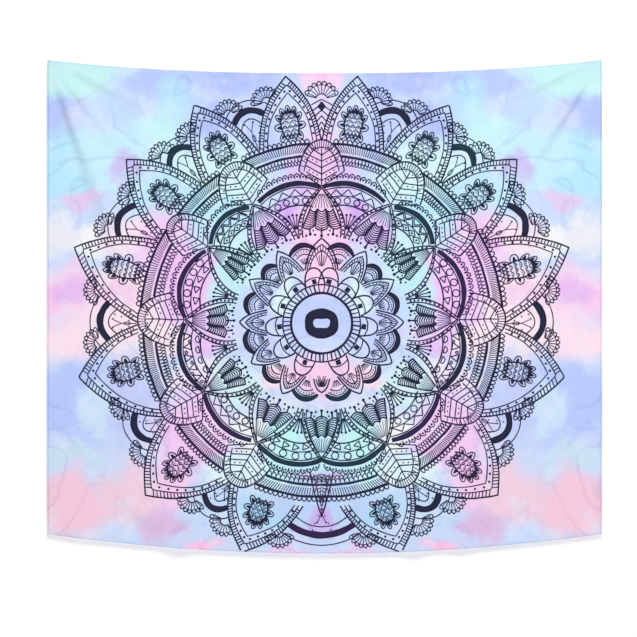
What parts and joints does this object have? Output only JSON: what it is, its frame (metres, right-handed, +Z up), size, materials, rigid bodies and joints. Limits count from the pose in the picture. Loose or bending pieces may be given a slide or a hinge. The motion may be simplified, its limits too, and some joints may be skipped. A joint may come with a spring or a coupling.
{
  "type": "tapestry wall hanging",
  "caption": "Wide printed cloth wall hanging with a pastel watercolour mandala, hemmed all round and hung by tape loops behind its top corners.",
  "frame": {"origin": "the middle of the hang line, the level line across which the two corner loops bear on their hooks", "axes": "+X to the right along the cloth's width as seen from the front, +Y away from the viewer into the wall so that the print faces -Y, +Z up"},
  "size_m": [1.4966, 0.0135, 1.332],
  "materials": {
    "printed_cloth": "woven polyester printed in pastel watercolour blues, aquas and pinks with dark line work",
    "turned_cloth": "the unprinted back of the same cloth, turned over and pressed",
    "sewing_thread": "twisted polyester sewing thread, off-white",
    "loop_tape": "narrow woven herringbone tape, off-white"
  },
  "bodies": {
    "cloth": {"printed_panel": "printed_cloth", "hem_top": "turned_cloth", "hem_bottom": "turned_cloth", "hem_left": "turned_cloth", "hem_right": "turned_cloth", "stitch_top": "sewing_thread", "stitch_bottom": "sewing_thread", "stitch_left": "sewing_thread", "stitch_right": "sewing_thread", "loop_end_left": "loop_tape", "loop_end_right": "loop_tape", "loop_tack_left": "sewing_thread", "loop_tack_right": "sewing_thread"},
    "left_loop": {"corner_loop_left": "loop_tape"},
    "right_loop": {"corner_loop_right": "loop_tape"}
  },
  "joints": [
    {"name": "left_loop_fold", "type": "hinge", "parent": "cloth", "child": "left_loop", "pos_m": [-0.73775, 0.0006, -0.028], "axis": [-1, 0, 0], "range_deg": [0, 160]},
    {"name": "right_loop_fold", "type": "hinge", "parent": "cloth", "child": "right_loop", "pos_m": [0.73775, 0.0006, -0.028], "axis": [-1, 0, 0], "range_deg": [0, 160]}
  ]
}
